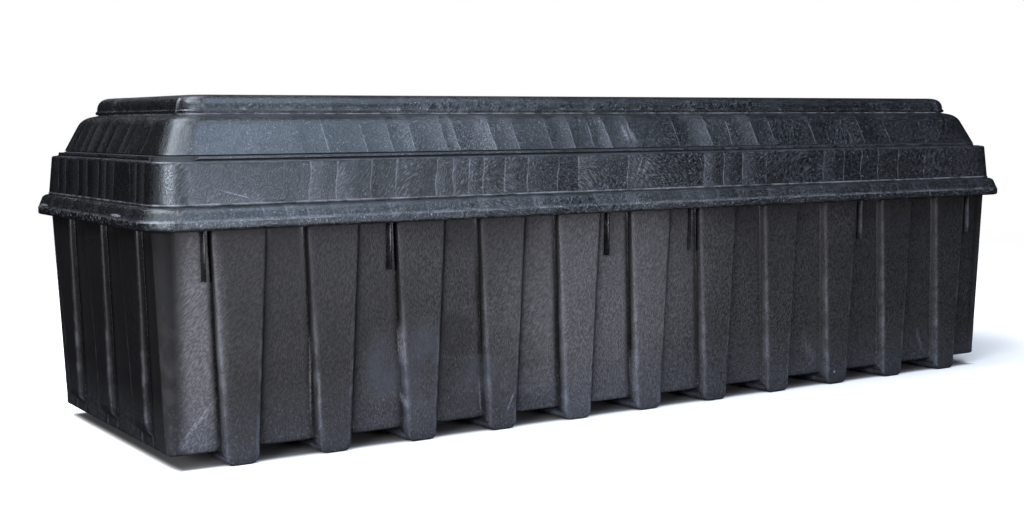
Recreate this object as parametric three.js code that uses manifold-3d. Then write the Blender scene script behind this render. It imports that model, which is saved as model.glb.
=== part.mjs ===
// Burial vault: a ribbed, moulded plastic base on cross runners, closed by a three-tier lift-off lid.
// Millimetres, +Z up, the length along X. The origin is on the ground, under the middle of the vault.
import * as THREE from 'three';
import { mergeVertices } from 'three/addons/utils/BufferGeometryUtils.js';
import Module from 'manifold-3d';

// Overall sizes, measured over the lip of the lid
const LENGTH = 2240;
const WIDTH = 764;
const WALL = 6.5;
const GAP = 0.3;
const OVERLAP = 1;
const SAME_POINT = 0.05;
const PLASTIC = { color: 0x2c2e33, roughness: 0.62, metalness: 0 };

// Base walls. An inset is measured inwards from the lip of the lid
const FLOOR_Z = 27;
const FLOOR_EDGE_RADIUS = 8;
const WALL_TOP_Z = 430;
const SIDE_INSET = { top: 48, bottom: 61 };
const END_INSET = { top: 27, bottom: 45 };
const BASE_CORNER_RADIUS = { top: 24, bottom: 14 };

// Ribs: the side ribs run on under the floor as cross runners, the end ribs fade out above it
const SIDE_RIB = { count: 11, pitch: 188.5, insetTop: 34, insetBottom: 40 };
const END_RIB = { count: 3, pitch: 205, insetTop: 15, insetBottom: 30, fadeStart: 62, fadeEnd: 40 };
const RIB_HALF = { top: 52, bottom: 33 };
const RIB_LOW_Z = 50;
const RIB_EDGE = 4;
const RIB_DRAFT = 4;
const FOOT_CORNER = 16;
const FOOT_TOE = 7;

// Thin gussets that stiffen the rim, in some of the bays between the side ribs
const FIN = { places: [114, 634, 1010], thickness: 5, inset: 35, bottom: 343, root: 52 };

// Rim of the base: a flat flange with a raised tongue that the lid sits on
const FLANGE = { inset: 7.4, bottom: 438.5, top: 445 };
const TONGUE = { outer: 9, inner: 21, edge: 2, top: 463.7 };

// Lid, from the lip up: lip, shoulder, upright tier, ledge, sloping tier, top tier
const LIP = { bottom: 436.5, top: 452.6, edge: 4 };
const SEAT = { inset: 10, chamfer: 8 };
const SHOULDER = { inset: 18.6, top: 478 };
const TIER_1 = { inset: 26.2, lean: 0.6, top: 559.1, edge: 7 };
const TIER_2 = { foot: 46, footZ: 560.1, inset: 48.2, bottom: 567.4 };
const KNEE = { inset: 79.7, z: 634.9, reach: 16 };
const TIER_3 = { inset: 107.6, bottom: 643, lean: 4, top: 678.8, bullnose: 27 };
const LID_CORNER_RADIUS = 70;
const LID_CORNER_TAPER = 0.27;
const LEDGE_STRIP = { inset: 33, edge: 3, root: 50.5, bottom: 557.1, top: 567, endSpan: 580, sideSpan: 2090 };

const CORNER_STEPS = 6;
const CURVE_STEPS = 5;
const EDGE_STEPS = 3;
const INSIDE_TOP_Z = 500;

const wasm = await Module();
wasm.setup();

// Geometry helpers

function between(z, low, high, lowZ, highZ) {
  return THREE.MathUtils.lerp(low, high, (z - lowZ) / (highZ - lowZ));
}

// A level outline with round corners, anticlockwise seen from above
function roundedRing(halfX, halfY, radius, z) {
  const ring = [];
  for (let corner = 0; corner < 4; corner += 1) {
    const signX = corner === 0 || corner === 3 ? 1 : -1;
    const signY = corner < 2 ? 1 : -1;
    for (let step = 0; step <= CORNER_STEPS; step += 1) {
      const angle = (corner + step / CORNER_STEPS) * Math.PI / 2;
      const x = signX * (halfX - radius) + radius * Math.cos(angle);
      const y = signY * (halfY - radius) + radius * Math.sin(angle);
      ring.push(new THREE.Vector3(x, y, z));
    }
  }
  return ring;
}

// The faces between one ring of points and the next one
function bandFaces(upper, lower, size) {
  const index = [];
  for (let i = 0; i < size; i += 1) {
    const next = (i + 1) % size;
    index.push(upper + i, lower + i, lower + next, upper + i, lower + next, upper + next);
  }
  return index;
}

function capFaces(ring) {
  return THREE.ShapeUtils.triangulateShape(ring.map((p) => new THREE.Vector2(p.x, p.y)), []);
}

// A closed skin through rings of equal length, from the top one on, capped at both ends
function loft(rings) {
  const size = rings[0].length;
  const last = (rings.length - 1) * size;
  const index = capFaces(rings[0]).flat();
  for (let upper = 0; upper < last; upper += size) {
    index.push(...bandFaces(upper, upper + size, size));
  }
  for (const [a, b, c] of capFaces(rings[rings.length - 1])) {
    index.push(last + a, last + c, last + b);
  }
  return new THREE.BufferGeometry().setFromPoints(rings.flat()).setIndex(index);
}

// A skin that closes on itself: its last ring meets the first one again, as on a picture frame
function frameLoft(rings) {
  const size = rings[0].length;
  const index = rings.flatMap((_, level) => {
    const next = (level + 1) % rings.length;
    return bandFaces(level * size, next * size, size);
  });
  return new THREE.BufferGeometry().setFromPoints(rings.flat()).setIndex(index);
}

// Quarter-round steps: how far up and how far in each ring of a rounded lower edge lies
function roundedEdge(radius) {
  return Array.from({ length: EDGE_STEPS + 1 }, (_, step) => {
    const angle = step / EDGE_STEPS * Math.PI / 2;
    return { up: radius * (1 - Math.sin(angle)), inwards: radius * (1 - Math.cos(angle)) };
  });
}

function solid(geometry) {
  geometry.deleteAttribute('normal');
  geometry.deleteAttribute('uv');
  const merged = mergeVertices(geometry, 1e-4);
  const vertProperties = new Float32Array(merged.attributes.position.array);
  const triVerts = new Uint32Array(merged.index.array);
  return new wasm.Manifold(new wasm.Mesh({ numProp: 3, vertProperties, triVerts }));
}

function join(solids) {
  return solids.reduce((whole, piece) => whole.add(piece));
}

function plasticMesh(name, body) {
  const { vertProperties, triVerts } = body.getMesh();
  const geometry = new THREE.BufferGeometry();
  geometry.setAttribute('position', new THREE.BufferAttribute(vertProperties, 3));
  geometry.setIndex(new THREE.BufferAttribute(triVerts, 1));
  geometry.computeVertexNormals();
  const mesh = new THREE.Mesh(geometry, new THREE.MeshStandardMaterial(PLASTIC));
  mesh.name = name;
  return mesh;
}

// Base

function sideInset(z) {
  return between(z, SIDE_INSET.bottom, SIDE_INSET.top, FLOOR_Z, WALL_TOP_Z);
}

function endInset(z) {
  return between(z, END_INSET.bottom, END_INSET.top, FLOOR_Z, WALL_TOP_Z);
}

// The box between the ribs. A thickness of WALL gives its inside, open at the top
function baseBox(thickness, topZ) {
  const ringAt = (z, rounding) => {
    const wallZ = Math.min(z, WALL_TOP_Z);
    const radius = between(wallZ, BASE_CORNER_RADIUS.bottom, BASE_CORNER_RADIUS.top, FLOOR_Z, WALL_TOP_Z);
    const inwards = thickness + rounding;
    const halfX = LENGTH / 2 - endInset(wallZ) - inwards;
    const halfY = WIDTH / 2 - sideInset(wallZ) - inwards;
    return roundedRing(halfX, halfY, radius - inwards / 2, z);
  };
  const bottomZ = FLOOR_Z + thickness;
  const floorEdge = roundedEdge(FLOOR_EDGE_RADIUS)
    .map(({ up, inwards }) => ringAt(bottomZ + up, inwards));
  return solid(loft([ringAt(topZ, 0), ringAt(WALL_TOP_Z, 0), ...floorEdge]));
}

// One level of a rib that runs right through the vault along Y, from face to face
function ribRing(half, faceY, rootY, z) {
  const quarter = [
    [half + RIB_DRAFT, rootY],
    [half, faceY - RIB_EDGE],
    [half - RIB_EDGE, faceY],
  ];
  const front = quarter.map(([x, y]) => new THREE.Vector3(x, -y, z)).reverse();
  const back = quarter.map(([x, y]) => new THREE.Vector3(x, y, z));
  const right = [...front, ...back];
  const left = right.map((p) => new THREE.Vector3(-p.x, -p.y, z));
  return [...right, ...left];
}

function ribHalf(z) {
  return between(z, RIB_HALF.bottom, RIB_HALF.top, RIB_LOW_Z, WALL_TOP_Z);
}

function ribInset(rib, z) {
  return between(z, rib.insetBottom, rib.insetTop, RIB_LOW_Z, WALL_TOP_Z);
}

// A side rib with its cross runner: up the front, under the floor and up the back
function sideRib(x, thickness, topZ) {
  const ringAt = (z, rounding) => {
    const wallZ = Math.min(z, WALL_TOP_Z);
    const toe = thickness + rounding * FOOT_TOE / FOOT_CORNER;
    const faceY = WIDTH / 2 - ribInset(SIDE_RIB, wallZ) - toe;
    const rootY = WIDTH / 2 - sideInset(wallZ) - toe;
    return ribRing(ribHalf(wallZ) - thickness - rounding, faceY, rootY, z);
  };
  const foot = roundedEdge(FOOT_CORNER - thickness)
    .map(({ up, inwards }) => ringAt(thickness + up, inwards));
  return solid(loft([ringAt(topZ, 0), ringAt(WALL_TOP_Z, 0), ...foot])).translate(x, 0, 0);
}

// An end rib: the same section turned across, fading into the wall above the floor edge
function endRib(y, thickness, topZ) {
  const ringAt = (z, fade) => {
    const wallZ = Math.min(z, WALL_TOP_Z);
    const rootX = LENGTH / 2 - endInset(wallZ) - thickness;
    const proud = LENGTH / 2 - ribInset(END_RIB, wallZ) - thickness - rootX;
    const faceX = rootX + THREE.MathUtils.lerp(proud, -RIB_EDGE, fade);
    return ribRing(ribHalf(wallZ) - thickness - fade * RIB_EDGE, faceX, rootX - 2 * RIB_EDGE, z);
  };
  const rings = [
    ringAt(topZ, 0),
    ringAt(WALL_TOP_Z, 0),
    ringAt(END_RIB.fadeStart + thickness, 0),
    ringAt(END_RIB.fadeEnd + thickness, 1),
  ];
  return solid(loft(rings).rotateZ(Math.PI / 2)).translate(0, y, 0);
}

function ribPlaces(rib) {
  const first = -(rib.count - 1) / 2 * rib.pitch;
  return Array.from({ length: rib.count }, (_, i) => first + i * rib.pitch);
}

function corrugatedBox(thickness, topZ) {
  const sideRibs = ribPlaces(SIDE_RIB).map((x) => sideRib(x, thickness, topZ));
  const endRibs = ribPlaces(END_RIB).map((y) => endRib(y, thickness, topZ));
  return join([baseBox(thickness, topZ), ...sideRibs, ...endRibs]);
}

function rimRing(inset, z) {
  const radius = LID_CORNER_RADIUS - inset * LID_CORNER_TAPER;
  return roundedRing(LENGTH / 2 - inset, WIDTH / 2 - inset, radius, z);
}

function flange() {
  return solid(loft([rimRing(FLANGE.inset, FLANGE.top), rimRing(FLANGE.inset, FLANGE.bottom)]));
}

function tongue() {
  const { outer, inner, edge, top } = TONGUE;
  const rootZ = FLANGE.top - OVERLAP;
  return solid(frameLoft([
    rimRing(inner - edge, top),
    rimRing(outer + edge, top),
    rimRing(outer, top - 2 * edge),
    rimRing(outer, rootZ),
    rimRing(inner, rootZ),
    rimRing(inner, top - 2 * edge),
  ]));
}

function fins() {
  const depth = FIN.root - FIN.inset;
  const height = FLANGE.bottom + OVERLAP - FIN.bottom;
  const y = WIDTH / 2 - FIN.inset - depth / 2;
  const z = FIN.bottom + height / 2;
  const fin = solid(new THREE.BoxGeometry(FIN.thickness, depth, height));
  const places = FIN.places.flatMap((x) => [x, -x]);
  return places.flatMap((x) => [fin.translate(x, -y, z), fin.translate(x, y, z)]);
}

function vaultBase() {
  const outside = join([corrugatedBox(0, FLANGE.top - OVERLAP), flange(), ...fins()]);
  const inside = corrugatedBox(WALL, INSIDE_TOP_Z);
  return outside.subtract(inside).add(tongue());
}

// Lid

// The outside of the lid in section: x is the inset, y the height, from the flat top down to the lip
function lidOutside() {
  const path = new THREE.Path();
  const bullnoseZ = TIER_3.top - TIER_3.bullnose;
  const wallInset = TIER_3.inset + TIER_3.lean;
  const slope = new THREE.Vector2(KNEE.inset - TIER_2.inset, KNEE.z - TIER_2.bottom).setLength(KNEE.reach);
  const roof = new THREE.Vector2(TIER_3.inset - KNEE.inset, TIER_3.bottom - KNEE.z).setLength(KNEE.reach);
  path.moveTo(wallInset + TIER_3.bullnose, TIER_3.top);
  path.absarc(wallInset + TIER_3.bullnose, bullnoseZ, TIER_3.bullnose, Math.PI / 2, Math.PI, false);
  path.lineTo(TIER_3.inset, TIER_3.bottom);
  path.lineTo(KNEE.inset + roof.x, KNEE.z + roof.y);
  path.quadraticCurveTo(KNEE.inset, KNEE.z, KNEE.inset - slope.x, KNEE.z - slope.y);
  path.lineTo(TIER_2.inset, TIER_2.bottom);
  path.lineTo(TIER_2.foot, TIER_2.footZ);
  path.lineTo(TIER_1.inset + TIER_1.edge, TIER_1.top);
  path.quadraticCurveTo(TIER_1.inset, TIER_1.top, TIER_1.inset - TIER_1.lean, TIER_1.top - TIER_1.edge);
  path.lineTo(SHOULDER.inset, SHOULDER.top);
  const shoulderRise = SHOULDER.top - LIP.top;
  path.absellipse(SHOULDER.inset, LIP.top, SHOULDER.inset, shoulderRise, Math.PI / 2, Math.PI, false);
  path.lineTo(0, LIP.bottom + LIP.edge);
  path.lineTo(LIP.edge / 2, LIP.bottom);
  const points = path.getPoints(CURVE_STEPS);
  return points.filter((p, i) => i === 0 || p.distanceTo(points[i - 1]) > SAME_POINT);
}

// Moves a section inwards by the wall thickness, square to each of its stretches
function offsetSection(points, distance) {
  return points.map((point, i) => {
    const before = points[Math.max(i - 1, 0)];
    const after = points[Math.min(i + 1, points.length - 1)];
    const along = after.clone().sub(before).normalize();
    return new THREE.Vector2(point.x - along.y * distance, point.y + along.x * distance);
  });
}

// The inside of the lid in section, from the lip up: skirt, flat seat on the tongue, then the wall thickness
function lidInside(outside) {
  const seatZ = TONGUE.top + GAP;
  const tiers = outside.filter((p) => p.y > SHOULDER.top + OVERLAP);
  const inner = offsetSection(tiers, WALL).reverse();
  const skirt = [
    [FLANGE.inset - GAP, LIP.bottom],
    [FLANGE.inset - GAP, seatZ - SEAT.chamfer],
    [SEAT.inset, seatZ],
    [SHOULDER.inset + WALL, seatZ],
  ];
  return [...skirt.map(([x, y]) => new THREE.Vector2(x, y)), ...inner];
}

// A raised strip on the ledge over the upright tier, along one side and stopping short of the corners
function ledgeStrip(span) {
  const { inset, edge, root, bottom, top } = LEDGE_STRIP;
  const shape = new THREE.Shape();
  shape.moveTo(inset, bottom);
  shape.lineTo(root, bottom);
  shape.lineTo(root, top);
  shape.lineTo(inset + edge, top);
  shape.lineTo(inset, top - edge);
  const strip = new THREE.ExtrudeGeometry(shape, { depth: span, bevelEnabled: false });
  strip.translate(0, 0, -span / 2);
  return strip.rotateX(Math.PI / 2);
}

function ledgeStrips() {
  const { endSpan, sideSpan } = LEDGE_STRIP;
  const side = solid(ledgeStrip(sideSpan).rotateZ(Math.PI / 2).translate(0, -WIDTH / 2, 0));
  const end = solid(ledgeStrip(endSpan).translate(-LENGTH / 2, 0, 0));
  return [side, side.rotate(0, 0, 180), end, end.rotate(0, 0, 180)];
}

function vaultLid() {
  const outside = lidOutside();
  const inside = lidInside(outside);
  const ringsOf = (section) => section.map((p) => rimRing(p.x, p.y));
  const shell = solid(loft([...ringsOf(outside), ...ringsOf(inside)]));
  return join([shell, ...ledgeStrips()]);
}

const vault = new THREE.Group();
vault.add(plasticMesh('vault_base', vaultBase()));
vault.add(plasticMesh('vault_lid', vaultLid()));

export default vault;
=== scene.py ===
"""Burial vault: a ribbed black plastic base on cross runners, closed by a three-tier lift-off lid."""
import bisect
import math
import random
from collections import namedtuple
from functools import reduce
from itertools import product

import bmesh
import bpy
from mathutils import Matrix, Vector, noise


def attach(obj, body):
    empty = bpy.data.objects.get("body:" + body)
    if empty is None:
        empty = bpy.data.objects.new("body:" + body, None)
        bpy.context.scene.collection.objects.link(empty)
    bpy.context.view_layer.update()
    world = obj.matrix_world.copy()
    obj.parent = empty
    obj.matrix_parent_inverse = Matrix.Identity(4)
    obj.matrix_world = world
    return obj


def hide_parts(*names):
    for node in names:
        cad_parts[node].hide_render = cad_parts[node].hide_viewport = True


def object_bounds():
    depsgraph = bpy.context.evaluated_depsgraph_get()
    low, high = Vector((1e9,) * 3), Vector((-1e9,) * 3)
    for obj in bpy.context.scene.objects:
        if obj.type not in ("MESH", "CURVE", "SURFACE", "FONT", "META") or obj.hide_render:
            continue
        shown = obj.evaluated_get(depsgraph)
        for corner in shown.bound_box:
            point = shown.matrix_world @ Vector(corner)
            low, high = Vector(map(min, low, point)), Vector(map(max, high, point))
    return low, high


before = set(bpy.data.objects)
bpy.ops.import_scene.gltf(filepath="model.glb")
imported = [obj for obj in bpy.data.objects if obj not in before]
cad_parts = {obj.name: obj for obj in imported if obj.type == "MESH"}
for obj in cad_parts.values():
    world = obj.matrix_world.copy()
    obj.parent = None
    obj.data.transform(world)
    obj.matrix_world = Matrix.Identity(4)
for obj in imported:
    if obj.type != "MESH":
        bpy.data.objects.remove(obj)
cad_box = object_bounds()

# Sizes in metres. An inset is measured inwards from the lip of the lid
HALF_LENGTH = (cad_box[1].x - cad_box[0].x) / 2
HALF_WIDTH = (cad_box[1].y - cad_box[0].y) / 2
WALL = 0.0065

# The four sides in turn: back, left end, front, right end. The way along each one and the way out of it
LONG_SIDES, FRONT = (0, 2), 2
ALONG = (Vector((-1, 0, 0)), Vector((0, -1, 0)), Vector((1, 0, 0)), Vector((0, 1, 0)))
OUTWARDS = (Vector((0, 1, 0)), Vector((-1, 0, 0)), Vector((0, -1, 0)), Vector((1, 0, 0)))

# Base walls, ribs and feet
FLOOR_Z = 0.027
WALL_TOP_Z = 0.430
SIDE_INSET_LOW, SIDE_INSET_HIGH = 0.061, 0.048
END_INSET_LOW, END_INSET_HIGH = 0.045, 0.027
BASE_CORNER_LOW, BASE_CORNER_HIGH = 0.014, 0.024
SIDE_RIBS, SIDE_RIB_PITCH = 11, 0.1885
SIDE_RIB_INSET_LOW, SIDE_RIB_INSET_HIGH = 0.040, 0.034
END_RIBS, END_RIB_PITCH = 3, 0.205
END_RIB_INSET_LOW, END_RIB_INSET_HIGH = 0.030, 0.015
END_RIB_FADE_LOW, END_RIB_FADE_HIGH = 0.040, 0.070
RIB_HALF_LOW, RIB_HALF_HIGH = 0.033, 0.052
RIB_LOW_Z = 0.050
RIB_DRAFT = 0.004
RIB_ROUNDING, ROOT_ROUNDING = 0.005, 0.002
FOOT_CORNER = 0.016
BOTTOM_ROUNDING = 0.005
FOOT_START_Z = 0.062
FOOT_WIDTH_WAY, FOOT_WAYS, BOTTOM_TURNS = 0.6, (0.4, 0.75), (0, 30, 60, 90)
FLANK_SHARE, FOOT_CORNER_WAYS, LEAST_RISE = 0.45, (0.6, 1.0), 0.0002
WALL_STEP, INNER_STEP = 0.017, 0.12
BAY_COLUMNS, RIB_FACE_COLUMNS, BASE_CORNER_STEPS = 5, 3, 8
BASE_LAYERS = ("edge", "crease", "low", "corner")

# Wear of the base, its pale rib edges (partly rubbed wear, partly painted highlight), its painted crease
# shade, and the dents of its walls: depth and size of the broad and the fine ones
LOW_WEAR_Z, CORNER_WEAR = 0.14, 0.25
PALE_EDGE_LOW_Z, PALE_EDGE_HIGH_Z = 0.17, 0.33
EDGE_OUT, CREASE_START, CREASE_END = (0.4, 0.9), (0.25, 0.50), (0.80, 0.98)
DENTS = ((0.0009, 0.09), (0.0004, 0.03))
BULGE, BULGE_TOP = 0.0035, (0.086, 0.094)
BULGE_LEFT, BULGE_RIGHT = (-0.345, -0.318), (-0.242, -0.215)

# Gussets under the rim, in some of the bays
FIN_PLACES = (0.114, 0.634, 1.010)
FIN_THICKNESS = 0.005
FIN_INSET, FIN_ROOT = 0.035, 0.054
FIN_LOW_Z = 0.343
FIN_ROUNDING, FIN_OVERLAP = 0.0012, 0.002
FIN_EDGE = 3.0

# Rim of the base
FLANGE_INSET, FLANGE_LOW_Z, FLANGE_HIGH_Z = 0.0074, 0.4385, 0.445
TONGUE_OUTER, TONGUE_INNER, TONGUE_EDGE, TONGUE_Z = 0.009, 0.021, 0.002, 0.4637
SEAT_Z, SEAT_INSET, SEAT_DROP = 0.464, 0.010, 0.008
CLEARANCE = 0.0003

# Lid, from the lip up
LIP_LOW_Z, LIP_HIGH_Z, LIP_ROUNDING = 0.4365, 0.4526, 0.005
LIP_EDGE, LIP_EDGE_RISE = 0.0012, 0.0008
SHOULDER_INSET, SHOULDER_Z = 0.0186, 0.478
SHOULDER_START, SHOULDER_BEND, SHOULDER_END, SHOULDER_DROP = 0.0006, 0.0065, 0.0105, 0.0050
BEAD_Z, BEAD_DEPTH, BEAD_OUT, BEAD_COVE, BEAD_DROP = 0.4830, 0.0018, 0.0060, 0.0014, 0.0016
BEAD_GROOVE_OUT, BEAD_GROOVE_RISE = 0.0006, 0.0008
TIER_1_INSET, TIER_1_Z, TIER_1_ROUNDING = 0.0262, 0.5591, 0.005
TIER_2_INSET, TIER_2_Z, SLOPE_FOOT_WAY = 0.0482, 0.5674, 0.05
KNEE_INSET, KNEE_Z, KNEE_REACH = 0.0797, 0.6349, 0.016
TIER_3_INSET, TIER_3_LEAN, TIER_3_LOW_Z, TIER_3_Z = 0.1076, 0.004, 0.643, 0.6788
TIER_3_TUCK, BULLNOSE, INNER_BULLNOSE = 0.0020, 0.027, 1.6
TIER_3_WALL = TIER_3_INSET + TIER_3_LEAN
FLAT_INSET = TIER_3_WALL + BULLNOSE
CREASE, CREASE_WAY = (TIER_3_INSET + TIER_3_TUCK, TIER_3_LOW_Z), 0.3
BELLY_LEAN, BELLY_RISE = 0.0012, 0.0060
ROOF_EDGE, ROOF_EDGE_DROP = 0.003, 0.0009
LID_CORNER, LID_CORNER_TAPER = 0.070, 0.27
KNUCKLE_CREASES, KNUCKLE_SLOPE, KNUCKLE_RISE = (-0.212, 0.130), 0.012, 0.0045
STRIP_INSET, STRIP_Z = 0.0350, 0.567
STRIP_BACK, STRIP_EDGE, LEDGE_RISE, LEDGE_GAP = 0.0035, 0.0003, 0.001, 0.0015
STRIP_GROOVE_Z, STRIP_GROOVE, GROOVE_DEPTH, GROOVE_HEIGHT = 0.5555, 0.0022, 0.0045, 0.0016
GROOVE_FADE_X, GROOVE_FAR_SHARE = (-0.2, 0.6), 0.25
STRIP_SIDE_HALF, STRIP_END_HALF = 1.055, 0.290
END_MARKS, END_EDGES = 0.8, 0.5
LID_CORNER_STEPS, LID_SIDE_STEPS, LID_END_STEPS = 12, 300, 90
LID_LAYERS = ("chill", "gap", "mark", "wear", "edge", "shade", "end")

# Low relief of the lid: its waves, and the gaps, lean and sway of its chill marks
RELIEF_LOW_Z, RELIEF_INSET = SHOULDER_Z - 0.02, 0.2
WAVE, WAVE_SIZE = 0.0006, 0.12
MARK_GAPS, MARKS_END = (0.035, 0.095), 2.0
MARK_LEAN, MARK_LEAN_CURVE = 0.005, 1.5
MARK_SWAY, MARK_SWAY_TURNS = 0.003, 60
MARK_WANDER, MARK_WANDER_SIZE = 0.004, 0.05
RIDGE, RIDGE_WIDTH, HOLLOW = 0.0003, 0.12, 0.0002
CORNER_FADE = 0.02

# Chill marks on the front of the lid, as places along X
TIER_1_MARKS = (
    -0.856, -0.808, -0.753, -0.680, -0.628, -0.538, -0.500, -0.465, -0.431, -0.381, -0.326, -0.253,
    -0.200, -0.073, 0.135, 0.192, 0.248, 0.316, 0.496, 0.560, 0.616, 0.673, 0.741, 0.830)
TIER_2_MARKS = (
    -0.809, -0.759, -0.678, -0.622, -0.573, -0.501, -0.474, -0.388, -0.332, -0.251, -0.193, -0.145,
    -0.100, -0.039, 0.085, 0.180, 0.236, 0.313, 0.365, 0.490, 0.653, 0.738, 0.860)

# Camera: the photograph's viewpoint, and its lens and sensor in millimetres
CAMERA_PLACE = Vector((-1.9791, -2.8638, 0.6258))
CAMERA_YAW, CAMERA_PITCH, CAMERA_ROLL = 32.792, 5.527, 0.309
CAMERA_LENS, CAMERA_SENSOR = 52.22, 36.0

SEED = 11


# Small measures

def between(value, low, high):
    """How far a value lies on its way from low to high, from 0 to 1."""
    return min(max((value - low) / (high - low), 0.0), 1.0)


def ease(value, low, high):
    """The same way with a soft start and a soft end."""
    way = between(value, low, high)
    return way * way * (3 - 2 * way)


def mix(low, high, way):
    return low + (high - low) * way


def rough(place, size, seed=0):
    """Smooth noise from -1 to 1 whose lumps are about the given size."""
    return noise.noise(Vector(place) / size + Vector((seed * 7.3, seed * 3.1, seed * 5.7)))


def bend(start, corner, end, steps):
    """Points on the rounding of a corner, with both of its ends."""
    ways = [step / steps for step in range(steps + 1)]
    return [start * (1 - t) ** 2 + corner * (2 * t * (1 - t)) + end * t * t for t in ways]


def spread(start, end, count):
    """Points evenly between two others, without them."""
    return [start.lerp(end, (step + 1) / (count + 1)) for step in range(count)]


# Rings of vertices that a skin is drawn through

def settle(ring, places):
    for vert, place in zip(ring, places):
        vert.co = place


def first_ring(bm, places):
    ring = bmesh.ops.create_circle(bm, segments=len(places), radius=1.0)["verts"]
    settle(ring, places)
    return ring


def fresh_verts(geometry):
    return {item for item in geometry if isinstance(item, bmesh.types.BMVert)}


def partners(old_verts, fresh):
    """The newly drawn vertex that belongs to each old one."""
    neighbours = [[edge.other_vert(vert) for edge in vert.link_edges] for vert in old_verts]
    return [next(vert for vert in group if vert in fresh) for group in neighbours]


def next_ring(bm, ring, places):
    """Draws the skin on from a closed ring to the next one."""
    edges = [bm.edges.get(pair) for pair in zip(ring, ring[1:] + ring[:1])]
    drawn = bmesh.ops.extrude_edge_only(bm, edges=edges)["geom"]
    ring = partners(ring, fresh_verts(drawn))
    settle(ring, places)
    return ring


def paint(ring, layer, values):
    for vert, value in zip(ring, values):
        vert[layer] = value


def paint_all(ring, layers, rows):
    """Paints all layers of a ring, from a row of values for each vertex."""
    for layer, values in zip(layers, zip(*rows)):
        paint(ring, layer, values)


def finished_piece(name, bm, node, material):
    """Closes the mesh, hangs it on the vault and lets it stand for its CAD node."""
    bmesh.ops.remove_doubles(bm, verts=bm.verts, dist=1e-5)
    bmesh.ops.dissolve_degenerate(bm, edges=bm.edges, dist=1e-6)
    bmesh.ops.recalc_face_normals(bm, faces=bm.faces)
    mesh = bpy.data.meshes.new(name)
    bm.to_mesh(mesh)
    bm.free()
    mesh.shade_smooth()
    mesh.set_sharp_from_angle(angle=math.radians(40))
    mesh.materials.append(material)
    piece = bpy.data.objects.new(name, mesh)
    bpy.context.collection.objects.link(piece)
    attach(piece, "root")
    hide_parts(node)


# Base

# One upright column of the base wall: how far along its side, how far out from the bay,
# and how far from the middle of its rib
Column = namedtuple("Column", "along out from_middle")


def wall_way(z):
    return (z - FLOOR_Z) / (WALL_TOP_Z - FLOOR_Z)


def rib_way(z):
    return (z - RIB_LOW_Z) / (WALL_TOP_Z - RIB_LOW_Z)


def side_inset(z):
    return mix(SIDE_INSET_LOW, SIDE_INSET_HIGH, wall_way(z))


def end_inset(z):
    return mix(END_INSET_LOW, END_INSET_HIGH, wall_way(z))


def rib_half(z):
    return mix(RIB_HALF_LOW, RIB_HALF_HIGH, rib_way(z))


def side_rib_rise(z):
    return side_inset(z) - mix(SIDE_RIB_INSET_LOW, SIDE_RIB_INSET_HIGH, rib_way(z))


def end_rib_rise(z):
    rise = end_inset(z) - mix(END_RIB_INSET_LOW, END_RIB_INSET_HIGH, rib_way(z))
    return max(rise * ease(z, END_RIB_FADE_LOW, END_RIB_FADE_HIGH), LEAST_RISE)


def rib_places(count, pitch):
    return [(i - (count - 1) / 2) * pitch for i in range(count)]


def rib_flank(half, rise):
    """Half of a rib seen from above, from the foot of its flank to its face."""
    root = Vector((half + RIB_DRAFT, 0.0))
    edge = Vector((half, rise))
    up = (edge - root).normalized()
    along = Vector((1.0, 0.0))
    reach = min(RIB_ROUNDING, rise * FLANK_SHARE)
    points = bend(root + along * ROOT_ROUNDING, root, root + up * ROOT_ROUNDING, 3)
    points += bend(edge - up * reach, edge, edge - along * RIB_ROUNDING, 4)
    points += [Vector((half - FOOT_CORNER * way, rise)) for way in FOOT_CORNER_WAYS]
    return points


def wall_columns(half_run, ribs, half, rise):
    """One wall seen from above, from one corner of the base to the next."""
    flank = rib_flank(half, rise)
    columns = []
    bay_start = Vector((-half_run, 0.0))
    for middle in ribs:
        left = [Vector((middle - p.x, p.y)) for p in flank]
        right = [Vector((middle + p.x, p.y)) for p in reversed(flank)]
        rib = left + spread(left[-1], right[0], RIB_FACE_COLUMNS) + right
        columns += [Column(p.x, p.y, None) for p in spread(bay_start, left[0], BAY_COLUMNS)]
        columns += [Column(p.x, p.y, abs(p.x - middle)) for p in rib]
        bay_start = right[-1]
    last_bay = spread(bay_start, Vector((half_run, 0.0)), BAY_COLUMNS)
    return columns + [Column(p.x, p.y, None) for p in last_bay]


def foot_bottom(column, half, rise, thickness):
    """The underside of a wall column: the floor in the bays, the rounded foot under a rib."""
    if column.from_middle is None:
        return FLOOR_Z + thickness
    corner = FOOT_CORNER - thickness
    over = min(max(column.from_middle - half + corner, 0.0), corner)
    arc = corner - math.sqrt(corner * corner - over * over)
    return thickness + max(arc, FLOOR_Z * (1 - column.out / rise))


# One level of the base: its nominal height, its depth inside the outer face, how far the columns
# have gone down to their undersides, and the turn of the rounded bottom edge in degrees
Level = namedtuple("Level", "z thickness foot turn", defaults=(0.0, 0.0, 0.0))


def level_sizes(level):
    """Half length, half width and corner radius of the bays at one level."""
    z = min(level.z, WALL_TOP_Z)
    turned = BOTTOM_ROUNDING * (1 - math.cos(math.radians(level.turn)))
    inwards = level.thickness + turned
    radius = mix(BASE_CORNER_LOW, BASE_CORNER_HIGH, wall_way(z)) - inwards / 2
    return HALF_LENGTH - end_inset(z) - inwards, HALF_WIDTH - side_inset(z) - inwards, radius


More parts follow.
